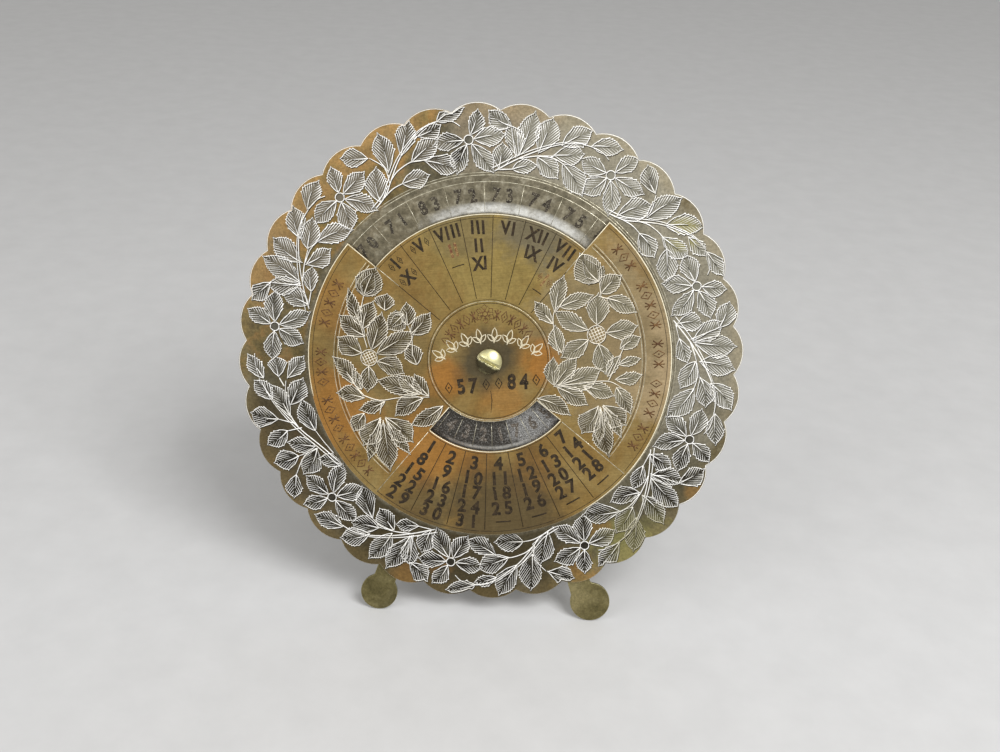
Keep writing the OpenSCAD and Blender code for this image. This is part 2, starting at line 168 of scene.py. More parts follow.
def plate_brass():
    material, place = new_finish("plate_brass", metallic=0.85)
    colour = ramp(noise(place, 0.055, 6, 0.62, 0.6), (0.30, (0.070, 0.058, 0.030)),
                  (0.48, (0.110, 0.094, 0.055)), (0.62, (0.155, 0.138, 0.090)), (0.78, (0.200, 0.184, 0.130)))
    stain = ramp(noise(place, 0.17, 5, 0.65), (0.36, (0.125, 0.088, 0.034)),
                 (0.50, (0.280, 0.200, 0.066)), (0.64, (0.450, 0.240, 0.066)))
    for middle, radius, share in (((-52, 52), 34, 0.75), ((-70, 10), 24, 0.45), ((-30, 76), 16, 0.6),
                                  ((-66, -48), 26, 0.3), ((8, 78), 14, 0.35), ((34, -72), 12, 0.55)):
        colour = spotted(place, colour, (middle, radius, share, stain))
    bloom, rust, orange = (0.36, 0.33, 0.25), (0.27, 0.145, 0.045), (0.42, 0.255, 0.105)
    # Of these spots, the two dark patches low down and at the lower left, at (-14, -66) and (-62, -36), are
    # painted shade below the disc; the others are stains, bloom and rust.
    colour = spotted(
        place, colour, ((62, 18), 54, 0.75, bloom), ((34, 68), 36, 0.8, bloom), ((2, 72), 22, 0.6, bloom),
        ((0, 78), 22, 0.5, (0.30, 0.225, 0.14)), ((-14, -66), 50, 0.7, (0.062, 0.046, 0.020)),
        ((-62, -36), 30, 0.6, (0.066, 0.048, 0.026)), ((50, -62), 16, 0.75, (0.29, 0.27, 0.10)),
        ((-25, -76), 6, 0.6, rust), ((-13, -72), 5, 0.6, rust), ((33, -70), 5, 0.6, rust),
        ((39, -55), 5, 0.6, rust), ((70, -41), 4, 0.6, rust),
        *((middle, 12, 0.6, orange) for middle in ((-34, 74), (-48, 65), (-61, 53), (-70, 40), (-76, 26))))
    # Distance from the plate's middle, in tenths of a metre
    out = vector("LENGTH", vector("MULTIPLY", place, (0.01, 0.01, 0)))
    colour = mix(ramp(out, (0.765, 0.0), (0.80, 1.0)), colour, (0.055, 0.037, 0.012), "ADD")
    # Darker patches on the back alone, round the nut, the hinge and the rivets
    front = maths("GREATER_THAN", height_of(place), -0.5)
    for middle, radius, share in (((0, 2), 12, 0.9), ((0, -16), 17, 0.6), ((-26, -50), 9, 0.7),
                                  ((22, -50), 9, 0.7)):
        darker_round_fittings = maths("SUBTRACT", spot(place, middle, radius, share), front, clamp=True)
        colour = mix(darker_round_fittings, colour, (0.060, 0.050, 0.028))
    # Under the disc the brass has gone grey, and nearer the middle as dark as gunmetal
    grey = ramp(noise(place, 0.35, 5, 0.65), (0.32, (0.115, 0.102, 0.068)),
                (0.52, (0.215, 0.188, 0.128)), (0.68, (0.360, 0.330, 0.245)))
    ring = maths("MULTIPLY", ramp(out, (0.598, 0.95), (0.612, 0.0)), front)
    colour = mix(ring, colour, grey)
    gun = ramp(noise(place, 1.9, 5, 0.7), (0.36, (0.035, 0.031, 0.027)),
               (0.54, (0.080, 0.073, 0.063)), (0.68, (0.340, 0.335, 0.320)))
    # White specks in the weekday window, towards its right: painted glints
    painted_glints = ramp(noise(place, 3.2, 3, 0.7), (0.48, 0.15), (0.58, 1.0))
    painted_glints = maths("MULTIPLY", painted_glints, spot(place, (15, -22), 10, 0.8, ragged=1.8, grain=0.5))
    gun = mix(painted_glints, gun, (0.66, 0.66, 0.65))
    ring = maths("MULTIPLY", ramp(out, (0.32, 1.0), (0.36, 0.0)), front)
    colour = mix(ring, colour, gun)
    # Bright streaks beside the windows: partly where the disc has rubbed, partly a painted highlight on the
    # plate at the window edges
    rub_and_highlight_streaks = ramp(noise(place, 0.30, 5, 0.75), (0.28, 0.35), (0.52, 1.0))
    for middle, inner, outer, reach, share in (((6, 49), 0.484, 0.516, 32, 1.0),
                                               ((2, -29), 0.296, 0.306, 17, 0.6)):
        rub_and_highlight_band = ramp(out, (inner - 0.006, 0.0), (inner, 1.0), ((inner + outer) / 2, 0.7), (outer, 0.0))
        rubbed = maths("MULTIPLY", maths("MULTIPLY", rub_and_highlight_band, rub_and_highlight_streaks),
                       spot(place, middle, reach, share, ragged=0.8))
        colour = mix(maths("MULTIPLY", rubbed, front), colour, (0.88, 0.88, 0.84))
    specks = noise(place, 1.1, 4, 0.7)
    colour = mix(0.55, colour, ramp(specks, (0.3, 0.25), (0.7, 0.78)), "OVERLAY")
    roughness = ramp(noise(place, 0.25, 5, 0.6), (0.3, 0.34), (0.7, 0.56))
    scratches = noise(squeezed(place, (0.25, 3.0, 1), 0.5), 1.0, 4, 0.6)
    relief = mix(0.5, ramp(scratches, (0.35, 0.0), (0.65, 1.0)), specks)
    return dress(material, colour, roughness, relief, 0.35, 0.05, edge=(0.62, 0.56, 0.40), edge_reach=0.35)


give(plate_brass(), "back_plate")


# ---------------------------------------------------------------- flowers engraved round the rim
# Nine five-petalled flowers, each with a leafy spray that runs round to the next one. A graver cut every line
# as a bright V with a raised burr, hatched the leaves from their toothed edges inwards and left them dark
# between the cuts.

bpy.ops.curve.primitive_bezier_circle_add(radius=1)
graver = bpy.context.object
graver.name = "graver_section"
graver.data.splines.clear()
graver.data.dimensions = "2D"
section = graver.data.splines.new("POLY")
section.points.add(2)
section.use_cyclic_u = True
for point, corner in zip(section.points, ((-0.5, -0.15), (0.5, -0.15), (0.0, 0.28))):
    point.co = (*corner, 0, 1)

# A face to work on: its body, its slot, how far it is turned and its height above the front of the plate
plate_face = ("plate", "plate", 0.0, 0.0)


def add_piece(name, data):
    """Adds a piece and picks it out alone."""
    piece = bpy.data.objects.new(name, data)
    bpy.context.collection.objects.link(piece)
    bpy.ops.object.select_all(action="DESELECT")
    piece.select_set(True)
    bpy.context.view_layer.objects.active = piece
    return piece


def lay(name, finish, face, lift=0.0):
    """Takes the picked piece, drawn flat in millimetres round the plate's middle. Closes its seams, points
    its faces outwards and sets it on a face of the leaning plate or disc."""
    body, slot, turned, height = face
    piece = bpy.context.object
    piece.name = name
    bpy.ops.object.mode_set(mode="EDIT")
    bpy.ops.mesh.select_all(action="SELECT")
    bpy.ops.mesh.remove_doubles(threshold=0.0005)
    bpy.ops.mesh.normals_make_consistent(inside=False)
    bpy.ops.object.mode_set(mode="OBJECT")
    upright = Matrix.Rotation(math.pi / 2 - lean, 4, "X") @ Matrix.Rotation(turned, 4, "Z")
    piece.matrix_world = (Matrix.Translation(plate_middle) @ upright
                          @ Matrix.Scale(MM, 4) @ Matrix.Translation((0, 0, height + lift)))
    bpy.ops.object.transform_apply(location=True, rotation=True, scale=True)
    piece.data.materials.clear()
    piece.data.materials.append(finish)
    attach(piece, body)


def cut(name, strokes, finish, face, lift=0.0):
    """Cuts strokes, each a list of (x, y, width) points that may close on itself, as one piece."""
    curve = bpy.data.curves.new(name, "CURVE")
    curve.dimensions = "3D"
    curve.twist_mode = "Z_UP"
    curve.bevel_mode = "OBJECT"
    curve.bevel_object = graver
    curve.use_fill_caps = True
    for points in strokes:
        spline = curve.splines.new("POLY")
        spline.use_cyclic_u = points[0] == points[-1]
        points = points[:-1] if points[0] == points[-1] else points
        spline.points.add(len(points) - 1)
        for point, (x, y, width) in zip(spline.points, points):
            point.co = (x, y, 0, 1)
            point.radius = width
    add_piece(name, curve)
    bpy.ops.object.convert(target="MESH")
    lay(name, finish, face, lift)


def inlay(name, outlines, finish, face, proud=0.012):
    """Thin darkened patches, one for each closed outline. Each lies a hair above the one before it."""
    corners, faces = [], []
    for i, outline in enumerate(outlines):
        first, n = len(corners), len(outline)
        top = proud + 0.010 * i / len(outlines)
        corners += [(x, y, top) for x, y in outline] + [(x, y, -proud) for x, y in outline]
        faces.append([first + k for k in range(n)])
        faces.append([first + n + k for k in reversed(range(n))])
        faces += [[first + k, first + n + k, first + n + (k + 1) % n, first + (k + 1) % n] for k in range(n)]
    mesh = bpy.data.meshes.new(name)
    mesh.from_pydata(corners, [], faces)
    add_piece(name, mesh)
    lay(name, finish, face)


def smooth_line(points, steps=4):
    """Rounds a line through its points, which hold any number of values each."""
    rounded = []
    for i in range(len(points) - 1):
        before, a, b, after = (points[max(0, min(len(points) - 1, i + k))] for k in (-1, 0, 1, 2))
        for t in (step / steps for step in range(steps)):
            rounded.append(tuple(
                q + 0.5 * t * (r - p + t * (2 * p - 5 * q + 4 * r - s + t * (3 * q - p - 3 * r + s)))
                for p, q, r, s in zip(before, a, b, after)))
    return rounded + [tuple(points[-1])]


line_w = 0.50
hatch_w = 0.42
hatch_pitch = 0.64
hatch_slant = math.radians(26)
tooth = 0.34
toothed_from = 0.26
rng = random.Random(7)


def leaf(strokes, patches, base, tip, width, fullest=0.6, blunt=0.7, vein=0.62, line=line_w, hatch=hatch_w):
    """One leaf or petal, widest at the share fullest of its length. Its edge is smooth by the stalk and
    toothed further on. A hatching line runs from every tooth back towards the midrib, all at one slant."""
    base, tip = Vector(base), Vector(tip)
    length = (tip - base).length
    along = (tip - base) / length
    across = Vector((-along.y, along.x))
    power = math.log(0.5) / math.log(fullest)
    lopsided = rng.uniform(-0.14, 0.14)
    bend = rng.uniform(-0.07, 0.07) * length
    slant_cos, slant_sin = math.cos(hatch_slant), math.sin(hatch_slant)

    def half(t, side):
        full = math.sin(math.pi * min(max(t, 0.0), 1.0) ** power)
        return width / 2 * (1 + side * lopsided) * max(full, 0.0) ** (0.85 if t < fullest else blunt)

    def at(t, off):
        return base + along * (length * t) + across * (off + bend * math.sin(math.pi * t))

    outline, shadow = {}, {}
    for side in (1, -1):
        teeth = []
        t = 1.0
        reached = length * slant_sin - hatch_pitch / 2
        while t > toothed_from:
            t -= 0.01
            if length * t * slant_sin - half(t, side) * slant_cos < reached:
                reached -= hatch_pitch
                teeth.insert(0, t)
        edge = [(t, 0.0, 0.9) for t in (0.06, 0.14, 0.24) if t < teeth[0] - 0.04]
        for before, t in zip([teeth[0] - 0.08, *teeth], teeth):
            peak = rng.uniform(0.4, 1.4) * min(1.0, 5 * (1.0 - t))
            edge += [(0.7 * before + 0.3 * t, -0.06, 0.62), (t, tooth * peak, 0.7 + 0.75 * peak)]
        outline[side] = [(*at(t, side * (half(t, side) + out)), line * w) for t, out, w in edge]
        shadow[side] = [tuple(at(t, side * (half(t, side) + 0.3))) for t, out, w in edge]
        for t in teeth if hatch else ():
            off = half(t, side)
            reach = min(0.9 * off / slant_sin, length * rng.uniform(0.40, 0.60))
            back = max(0.1, t - reach * slant_cos / length)
            inner = min(0.75 * half(back, side), max(0.12, off - reach * slant_sin))
            edge_end = (*at(t, side * (off + tooth)), hatch * rng.uniform(0.85, 1.2))
            strokes.append([edge_end, (*at(back, side * inner), 0.1)])
    patches.append([tuple(base), *shadow[1], tuple(at(1.10, 0)), *reversed(shadow[-1])])
    edge = [(*base, line), *outline[1], (*at(1.07, 0), line), *reversed(outline[-1])]
    strokes.append(edge + [edge[0]])
    rib = [at(t, 0.04 * width * math.sin(3 * t)) for t in (-0.02, 0.2, 0.4, vein)]
    strokes.append([(*point, line * w) for point, w in zip(rib, (1.35, 1.15, 0.9, 0.3))])


def stem(strokes, points, thick=0.72, thin=0.4):
    """A stem: one long cut that tapers along a smooth line."""
    count = len(points) - 1
    strokes.append(smooth_line([(*p, thick + (thin - thick) * i / count) for i, p in enumerate(points)]))


scallops = 32
scallop_r = 12
plate_r = 82.5


def scallop_angle(i):
    """Angle of a scallop. They were marked out by hand, so their pitch wanders a little."""
    even = 4.5 + i * 360 / scallops
    return even + 1.4 * math.cos(math.radians(even - 61))


def plate_edge(angle):
    """Radius of the plate's scalloped edge at an angle."""
    apart = math.radians(min(abs((angle - scallop_angle(i) + 180) % 360 - 180) for i in range(scallops)))
    aside = (plate_r - scallop_r) * math.sin(apart)
    return (plate_r - scallop_r) * math.cos(apart) + math.sqrt(scallop_r ** 2 - aside ** 2)


flower_r = 71
flower_angles = (22.9, 59.9, 97.9, 134.9, 173.9, 224.4, 261.9, 299.4, 340.9)
flower_ring = 1.45
usual_gap = 38
# Petals: how far round from the flower's middle the tip lies (degrees), its radius and the petal's width
petals = ((3.0, 79.8, 4.2), (8.8, 72.8, 4.8), (5.9, 61.2, 4.7), (-3.9, 61.6, 4.9), (-8.6, 71.4, 4.8))
# Leaves of the three kinds of spray, of which the last fills the widest gap: base and tip, each as degrees
# round from the flower and radius, and width
spray_leaves = (
    ((10.6, 75.2, 5.4, 79.6, 4.8), (8.1, 61.8, 8.7, 69.9, 4.6), (13.0, 66.2, 9.8, 75.6, 4.7),
     (13.4, 66.6, 15.3, 79.8, 5.6), (18.4, 68.4, 20.1, 79.6, 5.4), (23.6, 72.6, 28.8, 80.6, 5.0),
     (30.4, 76.0, 37.0, 79.4, 4.6), (22.4, 69.0, 29.0, 72.6, 5.2), (18.4, 67.0, 25.2, 63.0, 5.0),
     (12.0, 62.0, 18.6, 64.4, 3.6), (25.4, 67.4, 34.0, 61.4, 5.2)),
    ((11.8, 75.4, 6.2, 80.2, 4.8), (8.3, 61.6, 12.6, 71.6, 5.6), (14.8, 68.4, 17.0, 80.2, 5.6),
     (19.6, 71.2, 24.8, 81.2, 5.2), (25.4, 75.2, 31.0, 76.8, 3.4), (30.8, 78.0, 37.6, 80.8, 4.0),
     (21.6, 68.3, 29.6, 72.2, 5.2), (16.8, 63.3, 25.2, 62.8, 5.0), (25.2, 67.4, 33.4, 62.2, 5.0)),
    ((7.8, 75.9, 4.4, 81.0, 4.4), (10.4, 65.1, 7.0, 73.0, 5.0), (10.8, 71.9, 11.9, 80.1, 5.2),
     (11.1, 65.3, 14.4, 73.0, 4.2), (16.4, 71.6, 15.1, 79.4, 4.8), (19.2, 73.0, 21.4, 80.8, 5.2),
     (23.3, 73.0, 27.3, 77.8, 4.4), (27.7, 74.8, 32.2, 79.0, 3.6), (19.0, 68.9, 26.3, 73.0, 4.0),
     (27.7, 69.8, 31.9, 70.4, 4.8), (14.3, 62.8, 21.7, 63.6, 4.4), (21.5, 67.6, 26.6, 61.9, 4.8),
     (27.3, 66.9, 31.6, 61.0, 4.0), (4.2, 61.0, 8.1, 66.2, 3.4)))
spray_stems = (
    (((6.8, 61.0), (12.9, 65.2), (18.3, 69.2), (23.5, 73.0), (27.7, 75.2), (32.8, 75.8), (35.6, 74.6)),
     ((13.4, 65.5), (18.0, 67.3), (23.0, 68.9)), ((18.6, 67.4), (22.6, 68.0), (26.0, 67.2)),
     ((8.0, 61.5), (12.6, 62.1)), ((12.6, 65.6), (11.6, 70.0), (10.6, 75.0))),
    (((5.9, 61.0), (10.7, 62.6), (14.3, 65.8), (18.7, 70.4), (23.0, 74.0), (26.7, 76.8), (31.0, 78.0),
      (34.4, 77.2), (36.2, 75.4)),
     ((14.3, 65.8), (17.0, 67.4), (21.6, 68.4), (25.4, 67.4)), ((9.0, 62.0), (13.4, 63.2), (16.9, 63.3)),
     ((13.6, 65.2), (14.4, 70.2), (12.2, 75.2))),
    (((4.2, 60.9), (10.2, 63.3), (16.2, 67.6), (21.7, 71.9), (26.6, 75.5), (29.9, 76.9), (32.4, 77.2)),
     ((16.2, 67.6), (19.2, 68.7), (23.0, 68.7), (26.7, 67.6)), ((10.5, 65.1), (10.3, 70.0), (7.8, 75.9)),
     ((10.4, 65.0), (10.8, 72.0)), ((16.0, 66.6), (16.4, 71.6)), ((17.5, 68.6), (19.2, 73.0)),
     ((7.6, 61.0), (11.1, 61.9), (14.4, 62.8)), ((25.6, 68.4), (27.7, 69.8)))
)


def round_plate(angle, r):
    return (r * math.cos(math.radians(angle)), r * math.sin(math.radians(angle)))


def ring_cut(strokes, middle, r, width, steps=14):
    points = [(middle[0] + r * math.cos(a), middle[1] + r * math.sin(a), width)
              for a in (math.tau * i / steps for i in range(steps))]
    strokes.append(points + [points[0]])


flower_cuts, flower_patches, leaf_cuts, leaf_patches = [], [], [], []
for i, angle in enumerate(flower_angles):
    middle = Vector(round_plate(angle, flower_r))
    ring_cut(flower_cuts, middle, flower_ring, 0.55)
    flower_patches.append([tuple(middle + Vector(round_plate(20 * k, flower_ring))) for k in range(18)])
    for off, r, width in petals:
        tip = Vector(round_plate(angle - off - rng.uniform(-0.4, 0.4), r + rng.uniform(-0.5, 0.3)))
        base = middle + (tip - middle).normalized() * (flower_ring + 0.15)
        leaf(flower_cuts, flower_patches, base, tip, width * rng.uniform(1.08, 1.22), fullest=0.54, blunt=0.8)
    stretch = (angle - flower_angles[i - 1]) % 360 / usual_gap
    kind = 2 if stretch > 1.2 else i % 2
    for s0, r0, s1, r1, width in spray_leaves[kind]:
        base = round_plate(angle - s0 * stretch, r0)
        tip_angle = angle - s1 * stretch - rng.uniform(-0.4, 0.4)
        tip = round_plate(tip_angle, min(r1 + rng.uniform(-0.3, 0.3), plate_edge(tip_angle) - 0.8))
        leaf(leaf_cuts, leaf_patches, base, tip, width * rng.uniform(1.12, 1.32),
             fullest=rng.uniform(0.48, 0.6), blunt=rng.uniform(0.62, 0.86))
    for points in spray_stems[kind]:
        stem(leaf_cuts, [round_plate(angle - s * stretch, r) for s, r in points])
    # A second strand starts beside the main stem and runs into it
    main = spray_stems[kind][0]
    apart = [1 - k / (len(main) - 2) for k in range(len(main) - 1)]
    strand = [round_plate(angle - (s - 0.9 * a) * stretch, r + 0.8 * a) for (s, r), a in zip(main, apart)]
    stem(leaf_cuts, strand, 0.6, 0.34)


def kept_on(points):
    """Pulls points in from the plate's edge."""
    pulled = []
    for x, y, *width in points:
        r = math.hypot(x, y)
        most = plate_edge(math.degrees(math.atan2(y, x))) - 0.6 if r > 75 else r
        pulled.append((x * min(1, most / r), y * min(1, most / r), *width))
    return pulled


for lines in (flower_cuts, flower_patches, leaf_cuts, leaf_patches):
    lines[:] = [kept_on(points) for points in lines]


def one_tone(name, metallic, tone, stops, gloss, relief, strength, depth, specular=0.5, **edge):
    """A finish whose colour and roughness both follow one noise, with a second one for its relief."""
    material, place = new_finish(name, metallic, specular)
    tone = noise(place, *tone)
    relief = noise(place, *relief)
    return dress(material, ramp(tone, *stops), ramp(tone, *gloss), relief, strength, depth, **edge)


def bright_cut(name="bright_cut", tint=(1.0, 1.0, 1.0)):
    material, place = new_finish(name, metallic=0.15)
    shine = noise(place, 0.9, 4, 0.65)
    colour = ramp(shine, (0.28, (0.62, 0.59, 0.50)), (0.40, (0.92, 0.90, 0.84)), (0.55, (1.0, 0.99, 0.96)))
    dulled = ramp(noise(place, 0.07, 3, 0.6), (0.55, 0.0), (0.72, 0.45))
    colour = mix(dulled, mix(1.0, colour, tint, "MULTIPLY"), (0.42, 0.38, 0.25))
    colour = spotted(place, colour, ((53, -58), 14, 0.75, (0.42, 0.38, 0.21)))
    return dress(material, colour, ramp(shine, (0.3, 0.5), (0.6, 0.3)), noise(place, 4.0, 3, 0.6), 0.4, 0.03)


def beside(strokes, right, up, width):
    """Painted shade: a dark stroke beside each outline and stem, for the shaded wall of its cut on the side
    away from the light.
    """
    return [[(x + right, y + up, width) for x, y, w in points] for points in strokes if len(points) > 2]


def hatched_shade(name, metallic, turned, tone, stops, gloss, *spots):
    """The dull ground that shows between the cuts of a leaf."""
    material, place = new_finish(name, metallic, turned=turned)
    colour = spotted(place, ramp(noise(place, *tone), *stops), *spots)
    grain = noise(squeezed(place, (0.6, 4.0, 1), 0.8), 1.0, 3, 0.6)
    return dress(material, colour, ramp(noise(place, 1.2, 4, 0.6), *gloss), grain, 0.5, 0.05)


bright = bright_cut()
# Painted shade for the dark strokes that lie beside the cuts, on the side away from the light
groove_shade = one_tone("groove_wall_shade", 0.5, (0.6, 4, 0.6),
                  ((0.35, (0.014, 0.011, 0.007)), (0.65, (0.050, 0.041, 0.025))),
                  ((0.3, 0.5), (0.7, 0.7)), (0.6, 4, 0.6), 0.3, 0.02, specular=0.3)
leaf_shade = hatched_shade(
    "leaf_shade", 0.75, 0.0, (0.22, 5, 0.7),
    ((0.32, (0.016, 0.012, 0.008)), (0.50, (0.036, 0.031, 0.020)), (0.66, (0.110, 0.101, 0.074))),
    ((0.3, 0.42), (0.7, 0.6)),
    ((62, 20), 54, 0.8, (0.270, 0.258, 0.205)), ((24, 72), 42, 0.85, (0.285, 0.270, 0.215)),
    ((-52, 50), 46, 0.7, (0.245, 0.215, 0.160)), ((-72, 2), 24, 0.5, (0.190, 0.178, 0.140)),
    ((60, 44), 7, 0.7, (0.34, 0.31, 0.12)), ((53, -58), 15, 0.7, (0.20, 0.185, 0.085)))
# The bright burr on the filed edge is worn metal and also a painted highlight on the edges towards the lamp:
# it is thinner at the left, and left out between these angles, where the edge lies in shade
shaded_from, shaded_to, thin_from = 205, 322, 100
filed_burr_and_highlight = []
for i in range(scallops):
    if not shaded_from < scallop_angle(i) < shaded_to:
        start, end = ((scallop_angle(i + k) + scallop_angle(i + k + 1)) / 2 % 360 for k in (-1, 0))
        end += 360 if end < start else 0
        arc = [start + (end - start) * k / 10 for k in range(11)]
        width = 0.26 if thin_from < start < shaded_from else 0.34
        filed_burr_and_highlight.append([(*round_plate(angle, plate_edge(angle) - 0.2), width) for angle in arc])
cut("edge_burr_and_highlight", filed_burr_and_highlight, bright, plate_face)
cut("rim_flowers", flower_cuts, bright, plate_face)
cut("rim_leaves", leaf_cuts, bright, plate_face)
# A dark stroke beside each cut on the rim: painted shade
cut("rim_groove_shadows", beside(flower_cuts + leaf_cuts, 0.16, -0.27, 0.56), groove_shade, plate_face, -0.03)
inlay("rim_shading", leaf_patches + flower_patches, leaf_shade, plate_face)


# ---------------------------------------------------------------- rings of years and weekdays
# The plate carries twenty-eight columns under the disc: two-figure years round the outside and the weekdays,
# numbered 1 to 7, four times over near the middle. Columns and rings were scribed, and the figures were
# punched one by one and filled with black wax.

columns = 28
column_pitch = 360 / columns
first_column = 94.33
year_r, weekday_r = 53.6, 25.2
first_year = 57
column_of_first_year = 8
scribed_w = 0.22
# The punches: how much bolder than plain lettering, and how far a hand held them off their mark and askew
bold, off_mark, askew = 0.040, 0.16, 0.08
capital = 0.73


def arc_cut(strokes, r, start, end, width):
    """A scribed arc round the middle, from one angle to another in degrees."""
    steps = max(2, round(abs(end - start) / 3))
    points = [(*round_plate(start + (end - start) * i / steps, r), width) for i in range(steps + 1)]
    if abs(end - start) >= 360:
        points[-1] = points[0]
    strokes.append(points)


def spoke_cut(strokes, angle, inner, outer, width):
    strokes.append([(*round_plate(angle, r), width) for r in (inner, outer)])


figures = {}


def figure(mark):
    """Mesh of one figure, 1 high, with its middle at the origin. It is modelled once and copied."""
    if mark not in figures:
        bpy.ops.object.select_all(action="DESELECT")
        bpy.ops.object.text_add(location=(0, 0, 0))
        letter = bpy.context.object
        letter.data.body = mark
        letter.data.offset = bold
        letter.data.extrude = 0.012
        letter.data.resolution_u = 3
        bpy.ops.object.convert(target="MESH")
        letter = bpy.context.object
        corners = [vertex.co for vertex in letter.data.vertices]
        low = Vector((min(c.x for c in corners), min(c.y for c in corners), 0))
        high = Vector((max(c.x for c in corners), max(c.y for c in corners), 0))
        letter.data.transform(Matrix.Scale(1 / capital, 4) @ Matrix.Translation(-(low + high) / 2))
        figures[mark] = letter.data.copy()
        bpy.data.objects.remove(letter)
    return figures[mark]


def punch(name, marks, finish, face, narrow=0.8):
    """Punches marks as one piece: each is text, angle, radius, height, which way up and pitch of figures."""
    copies = []
    for text, angle, r, tall, foot_angle, pitch in marks:
        turn = math.radians(angle - foot_angle)
        for i, mark in enumerate(text):
            along = (i - (len(text) - 1) / 2) * pitch
            jog = Vector((along + rng.uniform(-off_mark, off_mark), rng.uniform(-off_mark, off_mark)))
            place = Vector(round_plate(angle, r)) + Matrix.Rotation(turn, 2) @ jog
            copies.append(add_piece(name, figure(mark).copy()))
            copies[-1].data.transform(Matrix.Translation((*place, 0))
                                      @ Matrix.Rotation(turn + rng.uniform(-askew, askew), 4, "Z")
                                      @ Matrix.Diagonal((tall * narrow, tall, 1, 1)))
    for copy in copies:
        copy.select_set(True)
    bpy.context.view_layer.objects.active = copies[0]
    bpy.ops.object.join()
    lay(name, finish, face)


def black_wax(name, black, brown, glint, bare):
    """Wax in a punched mark: black to brown, with the metal glinting where it has dropped out."""
    material, place = new_finish(name, metallic=0.1, specular=0.12)
    colour = ramp(noise(place, 0.5, 4, 0.6), (0.35, black), (0.68, brown))
    gone = ramp(noise(place, 2.2, 4, 0.7), (bare - 0.05, 0.0), (bare + 0.03, 1.0))
    roughness = ramp(noise(place, 1.5, 3, 0.6), (0.3, 0.45), (0.7, 0.75))
    return dress(material, mix(gone, colour, glint), roughness, noise(place, 2.5, 4, 0.7), 0.6, 0.08)


ring_lines = []
for r, start, end, width in ((57.7, 0, 360, 0.34), (59.8, -62, 128, 0.4), (60.6, -20, 140, 0.3),
                             (20.0, 0, 360, 0.25), (30.8, 0, 360, 0.25)):
    arc_cut(ring_lines, r, start, end, width)
# A year starts one weekday after the last one, or two after a leap year, so each goes in the first free
# column from there on that keeps its weekday
year_marks, weekday_marks, taken, shift = [], [], [], 0
for i in range(columns):
    for inner, outer in ((48.2, 57.6), (20.4, 30.4)):
        spoke_cut(ring_lines, first_column + i * column_pitch, inner, outer, scribed_w)
    angle = first_column - (i - 0.5) * column_pitch
    weekday_marks.append((str(i % 7 + 1), angle, weekday_r, 4.6, 270, 3.2))
    year = first_year + i
    shift += 2 if year % 4 == 0 else 1
    column = shift % columns
    while column in taken:
        column = (column + 7) % columns
    taken.append(column)
    angle = first_column - (column + column_of_first_year - 0.5) * column_pitch
    year_marks.append((str(year), angle, year_r, 4.4, 90, 4.3))

scribed = one_tone("scribed_line", 0.6, (0.5, 4, 0.65),
                   ((0.32, (0.26, 0.23, 0.15)), (0.48, (0.58, 0.54, 0.40)), (0.60, (0.84, 0.80, 0.64))),
                   ((0.3, 0.5), (0.6, 0.3)), (5.0, 2, 0.6), 0.3, 0.02)
cut("plate_rings", ring_lines, scribed, plate_face)
old_wax = black_wax("old_wax", (0.022, 0.018, 0.014), (0.075, 0.062, 0.045), (0.34, 0.31, 0.23), 0.60)
punch("year_figures", year_marks, old_wax, plate_face)
faint_wax = black_wax("faint_wax", (0.045, 0.036, 0.028), (0.110, 0.090, 0.070), (0.30, 0.28, 0.25), 0.56)
punch("weekday_figures", weekday_marks, faint_wax, plate_face)


# ---------------------------------------------------------------- spacer washer
# A turned brass ring, 1.2 mm thick, held on the screw between the plate and the disc. It lifts the disc
# clear of the plate, and only its edge shows.

def turned_brass(name, colour, dark, tone=0.3):
    material, place = new_finish(name, metallic=0.95)
    specks = noise(place, 2.6, 4, 0.7)
    shades = mix(0.4, ramp(noise(place, tone, 5, 0.62), (0.34, dark), (0.62, colour)),
                 ramp(specks, (0.3, 0.3), (0.7, 0.7)), "OVERLAY")
    roughness = ramp(noise(place, 0.9, 4, 0.6), (0.3, 0.28), (0.7, 0.5))
    edge = tuple(min(1.0, c * 1.35 + 0.08) for c in colour)
    return dress(material, shades, roughness, specks, 0.3, 0.03, edge=edge, edge_reach=0.15)


fittings_brass = turned_brass("fittings_brass", (0.52, 0.38, 0.16), (0.20, 0.145, 0.06))
give(fittings_brass, "spacer_washer")


# ---------------------------------------------------------------- turning disc
# A disc of 0.8 mm sheet brass that turns on the centre screw, sawn out at its rim over seven years and
# nearer its middle over seven weekdays. Its lacquer has gone ochre, with orange where it has lifted, and grey
# grime with painted shade round the screw.

disc_turned = math.radians(7.5)
disc_front = max((vertex.co - plate_middle).dot(plate_normal)
                 for vertex in frame["nodes"]["front_disc"].data.vertices) / MM
disc_face = ("disc", "disc", disc_turned, disc_front)


